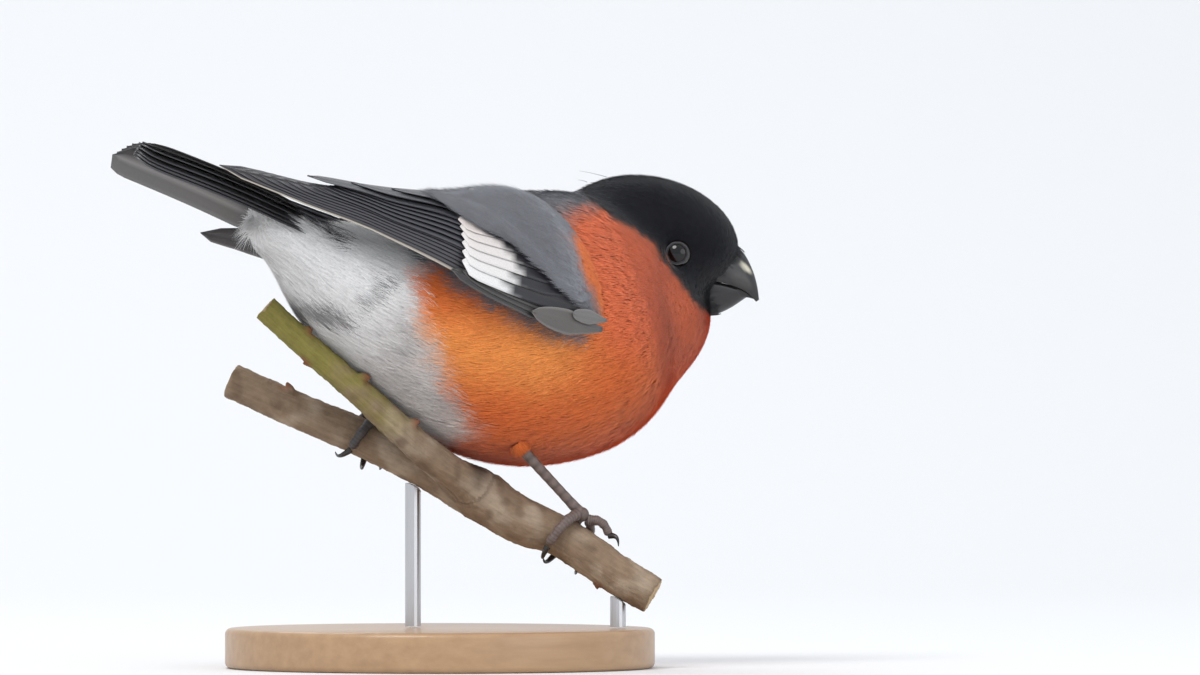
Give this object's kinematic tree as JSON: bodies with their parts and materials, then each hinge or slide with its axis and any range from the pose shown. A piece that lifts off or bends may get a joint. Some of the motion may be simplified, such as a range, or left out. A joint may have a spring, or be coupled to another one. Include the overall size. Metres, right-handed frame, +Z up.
{
  "type": "male bullfinch model on a branch",
  "caption": "Life-size still model of a male bullfinch with a raised tail, perched across a forked branch on a round display stand.",
  "frame": {"origin": "bottom centre of the bounding box, on the floor under the stand", "axes": "+X forward along the bird's body, +Y to the bird's left, +Z up"},
  "size_m": [0.1408, 0.086, 0.1048],
  "materials": {
    "plumage": "matt feathers",
    "cap": "short black feathers with a faint gloss",
    "flight_feathers": "smooth vanes with a blue-violet gloss",
    "bill": "polished horn",
    "eye": "wet gloss",
    "foot": "scaled skin",
    "claw": "satin horn",
    "bark": "rough bark",
    "stand_wood": "satin varnish",
    "stand_metal": "satin"
  },
  "bodies": {
    "root": {"bill_lower": "bill", "bill_upper": "bill", "claw_left_hind": "claw", "claw_left_inner": "claw", "claw_left_middle": "claw", "claw_left_outer": "claw", "claw_right_hind": "claw", "claw_right_inner": "claw", "claw_right_middle": "claw", "claw_right_outer": "claw", "eye_left": "eye", "eye_right": "eye", "foot_left": "foot", "foot_right": "foot", "head": "cap", "neck": "plumage", "perch": "bark", "rump": "plumage", "stand_base": "stand_wood", "stand_rod_front": "stand_metal", "stand_rod_rear": "stand_metal", "tail": "flight_feathers", "thigh_right": "plumage", "torso": "plumage", "wing_left": "flight_feathers", "wing_right": "flight_feathers"}
  },
  "joints": []
}
